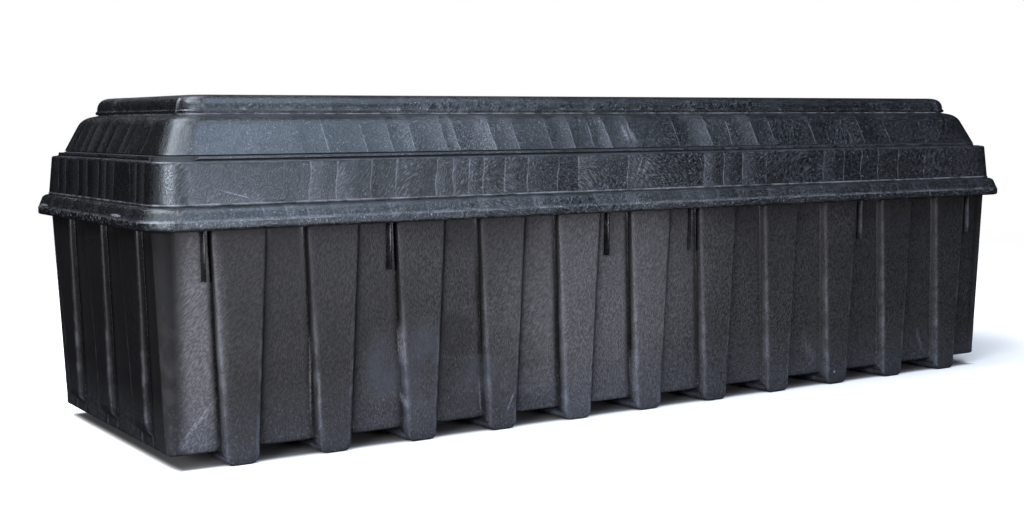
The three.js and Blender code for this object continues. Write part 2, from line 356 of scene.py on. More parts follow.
def base_columns(level):
    """The columns of the four walls on one level."""
    z = min(level.z, WALL_TOP_Z)
    half_x, half_y, radius = level_sizes(level)
    half = rib_half(z) - level.thickness
    side_ribs = rib_places(SIDE_RIBS, SIDE_RIB_PITCH)
    end_ribs = rib_places(END_RIBS, END_RIB_PITCH)
    side = wall_columns(half_x - radius, side_ribs, half, side_rib_rise(z))
    end = wall_columns(half_y - radius, end_ribs, half, end_rib_rise(z))
    return side, end, side, end


def column_height(column, wall, level):
    """The height of a column on a level, down to its own underside."""
    if level.foot == 0:
        return level.z
    z = min(level.z, WALL_TOP_Z)
    foot = FLOOR_Z + level.thickness
    if wall in LONG_SIDES:
        foot = foot_bottom(column, rib_half(z) - level.thickness, side_rib_rise(z), level.thickness)
    lifted = BOTTOM_ROUNDING * (1 - math.sin(math.radians(level.turn)))
    return mix(FOOT_START_Z + level.thickness, foot + lifted, level.foot)


def base_places(level):
    """The ring of one level: each wall's columns, with the rounded corner before them."""
    half_x, half_y, radius = level_sizes(level)
    corner_z = column_height(Column(0.0, 0.0, None), 1, level)
    places = []
    for wall, columns in enumerate(base_columns(level)):
        middle = Vector(((half_x - radius) * (1 if wall in (0, 3) else -1),
                         (half_y - radius) * (1 if wall < 2 else -1), corner_z))
        for step in range(BASE_CORNER_STEPS + 1):
            angle = (wall + step / BASE_CORNER_STEPS) * math.pi / 2
            places.append(middle + Vector((math.cos(angle), math.sin(angle), 0)) * radius)
        distance = half_y if wall in LONG_SIDES else half_x
        for column in columns:
            place = ALONG[wall] * column.along + OUTWARDS[wall] * (distance + column.out)
            places.append(place + Vector((0, 0, column_height(column, wall, level))))
    return places


def wall_sizes():
    """How many vertices of a ring each wall has, with the corner before it."""
    return [BASE_CORNER_STEPS + 1 + len(columns) for columns in base_columns(Level(WALL_TOP_Z))]


def wall_starts():
    """Where in a ring each wall's corner begins."""
    sizes = wall_sizes()
    return [sum(sizes[:wall]) for wall in range(4)]


def rim_over_base(inset, z):
    """A level ring of the rim, with a vertex over each column of the wall."""
    half_x, half_y, radius = level_sizes(Level(WALL_TOP_Z))
    turns = [step / BASE_CORNER_STEPS for step in range(BASE_CORNER_STEPS + 1)]
    places = []
    for wall, columns in enumerate(base_columns(Level(WALL_TOP_Z))):
        places += [rim_place(RimColumn(wall, turn, 0.0), inset, z) for turn in turns]
        half_run = (half_x if wall in LONG_SIDES else half_y) - radius
        runs = [(column.along + half_run) / (2 * half_run) for column in columns]
        places += [rim_place(RimColumn(wall, 1.0, run), inset, z) for run in runs]
    return places


def close_floor(bm, ring):
    """Draws the floor from the front wall to the back wall and closes both ends."""
    starts = wall_starts()
    front = ring[starts[2] + BASE_CORNER_STEPS:starts[3] + 1]
    back = ring[starts[0] + BASE_CORNER_STEPS:starts[1] + 1]
    edges = [bm.edges.get(pair) for pair in zip(front, front[1:])]
    drawn = bmesh.ops.extrude_edge_only(bm, edges=edges)["geom"]
    across = partners(front, fresh_verts(drawn))
    settle(across, [vert.co.copy() for vert in reversed(back)])
    left = ring[starts[1]:starts[2] + BASE_CORNER_STEPS + 1]
    right = ring[starts[3]:] + ring[:BASE_CORNER_STEPS + 1]
    bmesh.ops.remove_doubles(bm, verts=back + across, dist=1e-6)
    for end in (left, right):
        bmesh.ops.contextual_create(bm, geom=[vert for vert in end if vert.is_valid])


def base_levels(thickness, top_z, step):
    """The levels of one face of the base wall, from its top to its underside."""
    count = max(round((WALL_TOP_Z - FOOT_START_Z) / step), 1)
    heights = [mix(WALL_TOP_Z, FOOT_START_Z + thickness, i / count) for i in range(count + 1)]
    levels = [Level(z, thickness) for z in [top_z] + heights]
    low = mix(FOOT_START_Z, FLOOR_Z, FOOT_WIDTH_WAY)
    levels += [Level(low, thickness, foot) for foot in FOOT_WAYS]
    return levels + [Level(low, thickness, 1.0, turn) for turn in BOTTOM_TURNS]


def rim_stations():
    """The rim in section, from the outside over the flange and the tongue to the inside."""
    return [
        (FLANGE_INSET, FLANGE_LOW_Z), (FLANGE_INSET, FLANGE_HIGH_Z), (TONGUE_OUTER, FLANGE_HIGH_Z),
        (TONGUE_OUTER, TONGUE_Z - 2 * TONGUE_EDGE), (TONGUE_OUTER + TONGUE_EDGE, TONGUE_Z),
        (TONGUE_INNER - TONGUE_EDGE, TONGUE_Z), (TONGUE_INNER, TONGUE_Z - 2 * TONGUE_EDGE),
        (TONGUE_INNER, FLANGE_HIGH_Z)]


def add_fins(bm, layers):
    """Thin upright gussets between the wall and the rim."""
    depth = FIN_ROOT - FIN_INSET
    height = FLANGE_LOW_Z + FIN_OVERLAP - FIN_LOW_Z
    size = Matrix.Diagonal((FIN_THICKNESS, depth, height, 1.0))
    for x, side_x, side_y in product(FIN_PLACES, (-1, 1), (-1, 1)):
        y = side_y * (HALF_WIDTH - FIN_INSET - depth / 2)
        place = Matrix.Translation((side_x * x, y, FIN_LOW_Z + height / 2))
        fin = bmesh.ops.create_cube(bm, size=1.0, matrix=place @ size)["verts"]
        # The outer edges are painted pale, partly as rubbed wear and partly as painted highlight
        outer = [vert for vert in fin if abs(vert.co.y) > abs(y)]
        paint(outer, layers["edge"], [FIN_EDGE] * len(outer))
        # Painted shade: the whole fin takes the crease value, which clears its dust so it reads dark under
        # the rim
        paint(fin, layers["crease"], [1.0] * len(fin))
        edges = list(dict.fromkeys(edge for vert in fin for edge in vert.link_edges))
        bmesh.ops.bevel(bm, geom=edges, offset=FIN_ROUNDING, offset_type="OFFSET", affect="EDGES",
                        segments=2, profile=0.5, material=-1)


def column_edge_and_shade(column, half, rise, way):
    """How pale a column is painted at the edge of a rib, as rubbed wear and painted highlight, and how much
    painted shade darkens the crease at its foot.
    """
    if column.from_middle is None:
        return 0.0, 0.0
    out = column.out / rise
    edge = ease(out, *EDGE_OUT) * (1 - ease(half - column.from_middle, 0.0, 2 * RIB_ROUNDING))
    return edge, 1 - ease(out, mix(*CREASE_START, way), mix(*CREASE_END, way))


def base_layer_values(level):
    """What is painted on each vertex of a level, in the order of the base's layers."""
    z = min(level.z, WALL_TOP_Z)
    low = 1 - between(level.z, 0.0, LOW_WEAR_Z)
    wear = []
    for columns in base_columns(level):
        rise = max(column.out for column in columns)
        wear += [(CORNER_WEAR, 0.0, low, 1.0)] * (BASE_CORNER_STEPS + 1)
        wear += [(*column_edge_and_shade(column, rib_half(z), rise, wall_way(z)), low, 0.0) for column in columns]
    return wear


def dent(place):
    """How far a wall stands out or in at a place, from handling and from the mould."""
    out = sum(depth * rough(place, size, seed) for seed, (depth, size) in enumerate(DENTS))
    if place.y < 0:
        bay = ease(place.x, *BULGE_LEFT) * (1 - ease(place.x, *BULGE_RIGHT))
        out += BULGE * bay * (1 - ease(place.z, *BULGE_TOP))
    return out


def dented(places):
    """The places of one level, with the dents in its four walls."""
    starts, sizes = wall_starts(), wall_sizes()
    for wall in range(4):
        for i in range(starts[wall] + BASE_CORNER_STEPS, starts[wall] + sizes[wall]):
            places[i] = places[i] + OUTWARDS[wall] * dent(places[i])
    return places


def build_base(material):
    bm = bmesh.new()
    layers = {name: bm.verts.layers.float.new(name) for name in BASE_LAYERS}
    rim = [rim_over_base(inset, z) for inset, z in rim_stations()]
    start = first_ring(bm, rim[0])
    ring = start
    for level in base_levels(0.0, FLANGE_LOW_Z, WALL_STEP):
        places = base_places(level)
        if level.foot < 0.5 and level.z < WALL_TOP_Z:
            places = dented(places)
        ring = next_ring(bm, ring, places)
        paint_all(ring, layers.values(), base_layer_values(level))
    close_floor(bm, ring)
    ring = start
    inside = base_levels(WALL, FLANGE_HIGH_Z, INNER_STEP)
    for places in rim[1:] + [base_places(level) for level in inside]:
        ring = next_ring(bm, ring, places)
        for layer in layers.values():
            paint(ring, layer, [0.0] * len(ring))
    close_floor(bm, ring)
    add_fins(bm, layers)
    finished_piece("ribbed_base", bm, "vault_base", material)


# Lid

# One column of the lid: its corner, the turn round that corner and the run along the next side
RimColumn = namedtuple("RimColumn", "corner turn run")

# One ring of the lid in section: its inset and height, how strongly chill marks show, its wear, its pale
# edge line (partly rubbed, partly painted highlight), its share of the ledge strip, its painted shade, the
# depth of its groove, and its tier
Station = namedtuple("Station", "inset z mark wear edge strip shade groove tier",
                     defaults=(0.0, 0.0, 0.0, 0.0, 0.0, 0.0, 0))


def rim_radius(inset):
    if inset <= FLAT_INSET:
        return LID_CORNER - inset * LID_CORNER_TAPER
    return (LID_CORNER - FLAT_INSET * LID_CORNER_TAPER) * (HALF_WIDTH - inset) / (HALF_WIDTH - FLAT_INSET)


def rim_corner(corner, turn, inset):
    radius = rim_radius(inset)
    x = (HALF_LENGTH - inset - radius) * (1 if corner in (0, 3) else -1)
    y = (HALF_WIDTH - inset - radius) * (1 if corner < 2 else -1)
    angle = (corner + turn) * math.pi / 2
    return Vector((x + radius * math.cos(angle), y + radius * math.sin(angle), 0.0))


def rim_place(column, inset, z):
    """A point of the lid or the rim, on one column, at an inset and a height."""
    place = rim_corner(column.corner, column.turn, inset)
    if column.run > 0:
        place = place.lerp(rim_corner((column.corner + 1) % 4, 0.0, inset), column.run)
    place.z = z
    return place


def rim_columns():
    columns = []
    turns = [step / LID_CORNER_STEPS for step in range(LID_CORNER_STEPS + 1)]
    for corner in range(4):
        steps = LID_SIDE_STEPS if corner in LONG_SIDES else LID_END_STEPS
        columns += [RimColumn(corner, turn, 0.0) for turn in turns]
        columns += [RimColumn(corner, 1.0, step / steps) for step in range(1, steps)]
    return columns


# One leg of the lid's section: where it starts, its steps to the next leg, the corner it rounds, its finish
Leg = namedtuple("Leg", "start steps corner finish")


def leg(start, steps, corner=None, **finish):
    return Leg(start, steps, corner, finish)


def part_way(start, end, way):
    """A point of the section between two others."""
    return mix(start[0], end[0], way), mix(start[1], end[1], way)


def leg_rings(run, end):
    """The rings of one leg, straight or round its corner, without the last one."""
    if run.corner is None:
        points = [part_way(run.start, end, step / run.steps) for step in range(run.steps)]
    else:
        points = bend(Vector(run.start), Vector(run.corner), Vector(end), run.steps)[:-1]
    return [Station(inset, z, **run.finish) for inset, z in points]


def top_tier():
    """The flat top, the bullnose and the top tier's wall down to its crease, whose pale line is partly
    rubbed wear and partly painted highlight.
    """
    belly = (TIER_3_INSET + BELLY_LEAN, TIER_3_LOW_Z + BELLY_RISE)
    return [
        leg((HALF_WIDTH, TIER_3_Z), 6),
        leg((FLAT_INSET, TIER_3_Z), 7, corner=(TIER_3_WALL, TIER_3_Z), wear=0.25, tier=3),
        leg((TIER_3_WALL, TIER_3_Z - BULLNOSE), 2, mark=0.8, tier=3),
        leg(belly, 2, mark=0.4, shade=0.4, tier=3),
        leg(part_way(CREASE, belly, CREASE_WAY), 1, shade=0.4, tier=3),
        leg(CREASE, 1, edge=2.8)]


def sloping_tier():
    """The roof strip, the knee and the slope down to the groove at its foot."""
    slope = Vector((KNEE_INSET - TIER_2_INSET, KNEE_Z - TIER_2_Z)).normalized() * KNEE_REACH
    roof = Vector((TIER_3_INSET - KNEE_INSET, TIER_3_LOW_Z - KNEE_Z)).normalized() * KNEE_REACH
    knee_high = (KNEE_INSET + roof.x, KNEE_Z + roof.y)
    knee_low = (KNEE_INSET - slope.x, KNEE_Z - slope.y)
    roof_top = (CREASE[0] - ROOF_EDGE, CREASE[1] - ROOF_EDGE_DROP)
    foot = (TIER_2_INSET, TIER_2_Z)
    return [
        leg(roof_top, 2, wear=0.35, shade=0.7),
        leg(part_way(roof_top, knee_high, 0.5), 2, wear=0.3, shade=0.7),
        leg(knee_high, 6, corner=(KNEE_INSET, KNEE_Z), mark=0.6, tier=2),
        leg(knee_low, 7, mark=1.0, tier=2),
        leg(part_way(foot, knee_low, SLOPE_FOOT_WAY), 1, mark=0.8, tier=2),
        leg((TIER_2_INSET, TIER_2_Z + GROOVE_HEIGHT), 1, shade=1.0, groove=GROOVE_DEPTH),
        leg(foot, 2, shade=1.0)]


def ledge():
    """The ledge with its raised strip, and the groove in front of the strip."""
    z = TIER_1_Z + LEDGE_RISE
    return [
        leg((TIER_2_INSET - LEDGE_GAP, z), 2, shade=1.0),
        leg((TIER_2_INSET - STRIP_BACK, z), 3, strip=1.0, wear=0.3),
        leg((STRIP_INSET + 2 * STRIP_EDGE, z), 1, strip=1.0, edge=0.3),
        leg((STRIP_INSET + STRIP_EDGE, z - STRIP_EDGE), 1, strip=0.46, edge=0.3),
        leg((STRIP_INSET, z - 2 * STRIP_EDGE), 1, strip=0.24, shade=1.0, groove=GROOVE_DEPTH),
        leg((STRIP_INSET, z - 3 * STRIP_EDGE), 1, shade=1.0),
        leg((STRIP_INSET, STRIP_GROOVE_Z), 1, shade=1.0),
        leg((STRIP_INSET - STRIP_GROOVE, STRIP_GROOVE_Z), 1, shade=1.0)]


def upright_tier():
    """The upright tier with its rounded top edge, and the bead along its foot."""
    bead = TIER_1_INSET - BEAD_OUT
    return [
        leg((TIER_1_INSET + TIER_1_ROUNDING, TIER_1_Z), 4, corner=(TIER_1_INSET, TIER_1_Z),
            edge=0.2, wear=0.3, shade=0.6, tier=1),
        leg((TIER_1_INSET, TIER_1_Z - TIER_1_ROUNDING), 8, mark=1.0, tier=1),
        leg((bead, BEAD_Z + BEAD_COVE), 1, mark=1.0, tier=1),
        leg((bead, BEAD_Z), 1, wear=0.4, edge=2.0),
        leg((bead - BEAD_DEPTH, BEAD_Z - BEAD_DROP), 2, wear=0.4, edge=1.0),
        leg((bead - BEAD_GROOVE_OUT, SHOULDER_Z + BEAD_GROOVE_RISE), 1, shade=0.6)]


def shoulder_and_lip():
    """The sloping shoulder and the rounded, speckled lip."""
    bend_place = (SHOULDER_INSET - SHOULDER_BEND, SHOULDER_Z)
    return [
        leg((SHOULDER_INSET - SHOULDER_START, SHOULDER_Z), 4, corner=bend_place, mark=0.65, wear=0.3),
        leg((SHOULDER_INSET - SHOULDER_END, SHOULDER_Z - SHOULDER_DROP), 4, mark=0.65, wear=0.4),
        leg((LIP_EDGE, LIP_HIGH_Z + LIP_EDGE_RISE), 2, corner=(0.0, LIP_HIGH_Z), wear=1.1, edge=0.8),
        leg((0.0, LIP_HIGH_Z - LIP_EDGE), 3, wear=1.9),
        leg((0.0, LIP_LOW_Z + LIP_ROUNDING), 3, corner=(0.0, LIP_LOW_Z), wear=0.6)]


def lid_outside():
    """The outside of the lid in section, from the middle of the top down to the lip."""
    runs = top_tier() + sloping_tier() + ledge() + upright_tier() + shoulder_and_lip()
    ends = [run.start for run in runs[1:]] + [(LIP_ROUNDING, LIP_LOW_Z)]
    return [ring for run, end in zip(runs, ends) for ring in leg_rings(run, end)]


def lid_inside():
    """The inside of the lid in section, from the lip up to the middle of the top."""
    skirt = FLANGE_INSET - CLEARANCE
    points = [
        (skirt, LIP_LOW_Z), (skirt, SEAT_Z - SEAT_DROP),
        (SEAT_INSET, SEAT_Z), (SHOULDER_INSET + WALL, SEAT_Z),
        (TIER_1_INSET + WALL, TIER_1_Z - 2 * WALL), (TIER_1_INSET + 2 * WALL, TIER_1_Z - WALL),
        (TIER_2_INSET + WALL, TIER_2_Z - WALL), (KNEE_INSET + WALL, KNEE_Z - WALL),
        (TIER_3_INSET + WALL, TIER_3_LOW_Z - WALL), (TIER_3_WALL + WALL, TIER_3_Z - BULLNOSE),
        (TIER_3_WALL + BULLNOSE / 2, TIER_3_Z - WALL * INNER_BULLNOSE), (FLAT_INSET, TIER_3_Z - WALL),
        (HALF_WIDTH, TIER_3_Z - WALL)]
    return [Station(inset, z) for inset, z in points]


def side_marks(corner, tier):
    """Places of the chill marks along one side of a tier; the front's are the real ones."""
    if corner == FRONT and tier in (1, 2):
        marks = list(TIER_1_MARKS if tier == 1 else TIER_2_MARKS)
    else:
        dice = random.Random(SEED + corner * 10 + tier)
        end = HALF_LENGTH if corner in LONG_SIDES else HALF_WIDTH
        marks = [-end]
        while marks[-1] < end:
            marks.append(marks[-1] + dice.uniform(*MARK_GAPS))
    return [-MARKS_END] + marks + [MARKS_END]


MARKS = {(corner, tier): side_marks(corner, tier) for corner in range(4) for tier in range(4)}


def band(marks, place):
    """Counts the marks before a place, with the way to the next one as the fraction."""
    before = min(max(bisect.bisect_right(marks, place) - 1, 0), len(marks) - 2)
    return before + (place - marks[before]) / (marks[before + 1] - marks[before])


def side_place(column, place):
    """Where along its side a point lies."""
    return place.x if column.corner in LONG_SIDES else place.y


def mark_shift(station):
    """The lean of the chill marks, which run off to one side down the sloping tier."""
    if station.tier == 2:
        return MARK_LEAN * (1 - between(station.z, TIER_2_Z, KNEE_Z)) ** MARK_LEAN_CURVE
    return MARK_SWAY * math.sin(station.z * MARK_SWAY_TURNS)


def chill(column, station, place):
    """The count of chill marks at a place, backwards on the upper tiers, and the width of its band."""
    wander = MARK_WANDER * rough(place, MARK_WANDER_SIZE, 2)
    along = side_place(column, place) - mark_shift(station) + wander
    marks = MARKS[column.corner, station.tier]
    count = band(marks, along)
    before = min(int(count), len(marks) - 2)
    width = marks[before + 1] - marks[before]
    return (-count if station.tier in (2, 3) else count), width


def chill_relief(value, strength):
    """A low ridge on each chill mark and a shallow hollow between two of them."""
    way = value % 1.0
    ridge = max(1 - min(way, 1 - way) / RIDGE_WIDTH, 0.0)
    hollow = math.sin(way * math.pi)
    return strength * (RIDGE * ridge - HOLLOW * hollow)


def straight_run(column):
    """1 along the straight sides, fading to 0 at the corners."""
    if column.run == 0:
        return 0.0
    return ease(min(column.run, 1 - column.run), 0.0, CORNER_FADE)


def mark_strength(column):
    """Chill marks are fainter on the two ends."""
    return straight_run(column) * (1.0 if column.corner in LONG_SIDES else END_MARKS)


def edge_strength(column):
    """Pale edge lines, partly rubbed wear and partly painted highlight, are weaker on the two ends."""
    return END_EDGES if column.corner in (1, 3) and column.run > 0 else 1.0


def strip_lift(column, place, station):
    """How far the strip raises the ledge; it stops short of the corners."""
    half = STRIP_SIDE_HALF if column.corner in LONG_SIDES else STRIP_END_HALF
    if column.run == 0 or abs(side_place(column, place)) > half:
        return 0.0
    return station.strip * (STRIP_Z - station.z)


def knuckle(column, place):
    """1 on the knuckles of the top tier's ends, 0 between their two creases."""
    if column.run == 0:
        return 1.0
    left, right = KNUCKLE_CREASES
    past_right = ease(place.y, right, right + KNUCKLE_SLOPE)
    return 1 - ease(place.y, left - KNUCKLE_SLOPE, left) * (1 - past_right)


def groove_share(place):
    """The grooves beside the ledge strip get shallower along the vault."""
    return mix(1.0, GROOVE_FAR_SHARE, between(place.x, *GROOVE_FADE_X))


def lid_place(column, station):
    """A point of the lid's outside, with its low relief."""
    place = rim_place(column, station.inset, station.z)
    if station.strip:
        place.z += strip_lift(column, place, station)
    if station.z < RELIEF_LOW_Z or station.inset > RELIEF_INSET:
        return place
    inset = station.inset - WAVE * rough(place, WAVE_SIZE, 3) + station.groove * groove_share(place)
    if station.mark:
        inset -= chill_relief(chill(column, station, place)[0], station.mark * mark_strength(column))
    if station.tier == 3 and column.corner in (1, 3):
        inset -= KNUCKLE_RISE * knuckle(column, place)
    return rim_place(column, inset, place.z)


def end_facing(column, station):
    """1 on the ends, 0 on the long sides and the flat top, with soft changes."""
    facing = abs(math.cos((column.corner + column.turn) * math.pi / 2))
    return facing * (1 - ease(station.inset, FLAT_INSET - BULLNOSE, FLAT_INSET))


def lid_finish(column, station, place):
    """What is painted on one vertex of the lid, in the order of its layers."""
    count, width = chill(column, station, place)
    mark = station.mark * mark_strength(column)
    edge = station.edge * edge_strength(column)
    return count, width, mark, station.wear, edge, station.shade, end_facing(column, station)


def build_lid(material):
    bm = bmesh.new()
    layers = [bm.verts.layers.float.new(name) for name in LID_LAYERS]
    columns = rim_columns()
    outside = lid_outside()
    ring = first_ring(bm, [lid_place(column, outside[0]) for column in columns])
    for station in outside[1:]:
        ring = next_ring(bm, ring, [lid_place(column, station) for column in columns])
        finishes = [lid_finish(column, station, vert.co) for column, vert in zip(columns, ring)]
        paint_all(ring, layers, finishes)
    for station in lid_inside():
        ring = next_ring(bm, ring, [rim_place(column, station.inset, station.z) for column in columns])
        for layer in layers:
            paint(ring, layer, [0.0] * len(columns))
    finished_piece("stepped_lid", bm, "vault_lid", material)


# Materials

def feed(node, inputs):
    """Gives a node's inputs their values: plain ones, or other nodes' outputs."""
    for name, value in inputs.items():
        if isinstance(value, bpy.types.NodeSocket):
            node.id_data.links.new(value, node.inputs[name])
        else:
            node.inputs[name].default_value = value


def add_node(tree, kind, inputs=None, **settings):
    made = tree.nodes.new("ShaderNode" + kind)
    for name, value in settings.items():
        setattr(made, name, value)
    feed(made, inputs or {})
    return made


def maths(operation, first, second=0.0):
    return add_node(first.id_data, "Math", {0: first, 1: second}, operation=operation).outputs[0]


def joined(operation):
    """Joins any number of values by one operation."""
    return lambda *values: reduce(lambda total, value: maths(operation, total, value), values)


added, times, greatest = joined("ADD"), joined("MULTIPLY"), joined("MAXIMUM")


def vector_maths(operation, inputs, output=0):
    return add_node(inputs[0].id_data, "VectorMath", inputs, operation=operation).outputs[output]


def ranged(value, low, high, to_low=0.0, to_high=1.0):
    """A value spread from one range to another, with soft ends."""
    inputs = {"Value": value, "From Min": low, "From Max": high, "To Min": to_low, "To Max": to_high}
    made = add_node(value.id_data, "MapRange", inputs, interpolation_type="SMOOTHSTEP")
    return made.outputs["Result"]


def cloud(place, scale, detail=2.0, roughness=0.5):
    inputs = {"Vector": place, "Scale": scale, "Detail": detail, "Roughness": roughness}
    return add_node(place.id_data, "TexNoise", inputs).outputs["Fac"]


def attribute(tree, name):
    return add_node(tree, "Attribute", attribute_name=name).outputs["Fac"]


def object_place(tree):
    return add_node(tree, "TexCoord").outputs["Object"]


def axis_of(place, axis):
    return add_node(place.id_data, "SeparateXYZ", {0: place}).outputs[axis]


def local_place(place, **inputs):
    """Places measured from a middle, along turned and stretched axes."""
    mapping = {"Vector": place, **inputs}
    return add_node(place.id_data, "Mapping", mapping, vector_type="TEXTURE").outputs["Vector"]


def swirled(place, scale, reach):
    """Places pushed about by a slow noise, so that the grain runs in swirls."""
    inputs = {"Vector": place, "Scale": scale, "Detail": 1.0}
    push = add_node(place.id_data, "TexNoise", inputs).outputs["Color"]
    centred = vector_maths("SUBTRACT", {0: push, 1: (0.5, 0.5, 0.5)})
    scaled = vector_maths("SCALE", {0: centred, "Scale": reach})
    return vector_maths("ADD", {0: place, 1: scaled})


def hair_grain(place, turn, length, width):
    """Short fine streaks along one direction, as noise from 0 to 1."""
    angles = [math.radians(angle) for angle in turn]
    return cloud(local_place(place, Rotation=angles, Scale=(width, width, length)), 1.0, 1.0)


def crossed_hairs(drawn, hairs, share, low, high):
    """Hairs in two directions, mixed by a share and sharpened between two levels."""
    first, second = (hair_grain(drawn, *hair) for hair in hairs)
    both = {"Factor": share, "A": first, "B": second}
    return ranged(add_node(drawn.id_data, "Mix", both).outputs["Result"], low, high)


def patch(place, middle, size, feather=0.5, turn=0.0):
    """A soft oval patch at a place on the vault, turned in the plane of the front."""
    local = local_place(place, Location=middle, Rotation=(0.0, turn, 0.0), Scale=size)
    return ranged(vector_maths("LENGTH", {0: local}, "Value"), feather, 1.0, 1.0, 0.0)


def scuffed(place, scuffs):
    """All the thin pale scuffs on the front."""
    marks = []
    for scuff in scuffs:
        start, end = Vector(scuff.start), Vector(scuff.end)
        run = end - start
        middle = (start + end) / 2
        size = (scuff.width, FRONT_DEPTH, run.length / 2)
        mark = patch(place, (middle.x, -HALF_WIDTH, middle.y), size, SCUFF_FEATHER, math.atan2(run.x, run.y))
        marks.append(times(mark, scuff.strength))
    return greatest(*marks)


def blend_colours(amount, first, second):
    colours = dict(zip(MIX_COLOURS, (first, second)))
    made = add_node(amount.id_data, "Mix", {"Factor": amount, **colours}, data_type="RGBA")
    return made.outputs[MIX_RESULT]


def new_material(name):
    material = bpy.data.materials.new(name)
    material.use_nodes = True
    tree = material.node_tree
    return material, tree, tree.nodes["Principled BSDF"]


def grained(grain, strength):
    """The surface with its grain standing out."""
    inputs = {"Height": grain, "Strength": strength, "Distance": GRAIN_DEPTH}
    return add_node(grain.id_data, "Bump", inputs).outputs["Normal"]


MIX_COLOURS, MIX_RESULT = (6, 7), 2
BLACK = (0.0016, 0.0016, 0.0018, 1.0)
CHALK = (0.16, 0.17, 0.19, 1.0)
GREY_DUST = (0.170, 0.166, 0.178, 1.0)
BLUE_DUST = (0.13, 0.15, 0.19, 1.0)
LID_SHEEN = (0.80, 0.91, 1.0, 1.0)

# Hairs of the grain in two directions: turn in degrees, length and width
LID_HAIRS = (((0, 38, 0), 0.014, 0.0016), ((20, -55, 0), 0.012, 0.0016))
BASE_HAIRS = (((0, 6, 0), 0.007, 0.0015), ((10, 48, 0), 0.016, 0.0015))
LID_SWIRL, BASE_SWIRL = (6.0, 0.09), (7.0, 0.030)
GRAIN_DEPTH, LID_BUMP, BASE_BUMP = 0.0004, 0.55, 0.4
LID_ROUGHNESS, BASE_ROUGHNESS = (0.30, 0.41), (0.52, 0.64)

# How pale each layer of dust and wear is on the lid
LID_HAIR, LID_VEIL, CHILL_LINE = (0.13, 0.25), (0.14, 0.34), (0.16, 0.46)
CHILL_LINE_WIDTH, FAR_HAIR = 0.0022, 0.58
LID_SPECKS, LID_SPOTS, LID_RUBBED_AND_HIGHLIT = 0.45, 0.38, (0.05, 0.35)

# The same on the base
BASE_HAIR, FRONT_FILM, PANEL_FILM = (0.13, 0.23), 0.42, 0.60
EDGE_SPECKS, LOW_SPECKS, BASE_RUBBED_AND_HIGHLIT = 0.10, 0.4, (0.1, 0.5)
LOW_TINT, SMUDGE_TINT, PALE_EDGE_TINT = 0.06, 0.15, 0.5
CORNER_MATT, BASE_SPECULAR = 0.45, 0.3

# Pale chips on the lip of the near end: middle and half sizes
LIP_CHIPS = (
    ((-1.115, 0.285, 0.4580), (0.02, 0.032, 0.0022)),
    ((-1.115, -0.185, 0.4590), (0.02, 0.034, 0.0030)))

# One thin scuff on the front: its two ends along X and up Z, its half width, and how pale it is
Scuff = namedtuple("Scuff", "start end width strength")
FRONT_DEPTH, SCUFF_FEATHER = 0.3, 0.15
# Past this place along X the ends of the base lose most of their dust, as painted shade
SHADED_END_X, SHADED_END_FADE = 1.025, 0.05

# Bluish smudges low on the front and the dark wiped spot beside them: middles and half sizes
SMUDGES = (
    ((-0.645, -0.34, 0.150), (0.055, 0.1, 0.090)),
    ((-0.565, -0.34, 0.135), (0.080, 0.1, 0.140)),
    ((-0.420, -0.34, 0.110), (0.080, 0.1, 0.070)))
WIPED = ((-0.478, -0.34, 0.205), (0.055, 0.1, 0.060))

# Slanted grain by the near corner, and dusty film on the near panel and the middle of the front
SLANTED = ((-1.06, -0.33, 0.22), (0.16, 0.1, 0.4))
DUSTY_PANEL = ((-1.02, -0.33, 0.24), (0.06, 0.1, 0.34))
DUSTY_FRONT = ((-0.13, -0.34, 0.26), (0.36, 0.2, 0.42))
LID_SCUFFS = (
    Scuff((-1.000, 0.512), (-0.911, 0.487), 0.0018, 0.90),
    Scuff((-0.030, 0.556), (-0.052, 0.503), 0.0035, 0.60),
    Scuff((-0.008, 0.545), (-0.046, 0.503), 0.0070, 0.35),
    Scuff((-0.055, 0.625), (-0.046, 0.575), 0.0100, 0.60),
    Scuff((-0.040, 0.620), (-0.024, 0.572), 0.0080, 0.60))
BASE_SCUFFS = (
    Scuff((-1.068, 0.035), (-0.976, 0.136), 0.0070, 0.45),
    Scuff((-1.060, 0.035), (-1.035, 0.060), 0.0120, 0.40),
    Scuff((-0.800, 0.255), (-0.797, 0.030), 0.0035, 0.45),
    Scuff((-0.788, 0.180), (-0.787, 0.030), 0.0040, 0.35),
    Scuff((-0.612, 0.250), (-0.602, 0.125), 0.0060, 0.55),
    Scuff((-0.607, 0.106), (-0.597, 0.060), 0.0030, 0.50),
    Scuff((-0.426, 0.130), (-0.417, 0.015), 0.0035, 0.40),
    Scuff((-0.374, 0.024), (-0.344, 0.093), 0.0040, 0.40),
    Scuff((-0.044, 0.150), (-0.030, 0.013), 0.0060, 0.25),
    Scuff((0.458, 0.135), (0.522, 0.040), 0.0220, 0.15),
    Scuff((0.847, 0.122), (0.890, 0.030), 0.0100, 0.20),
    Scuff((0.554, 0.034), (0.558, 0.026), 0.0040, 1.50))


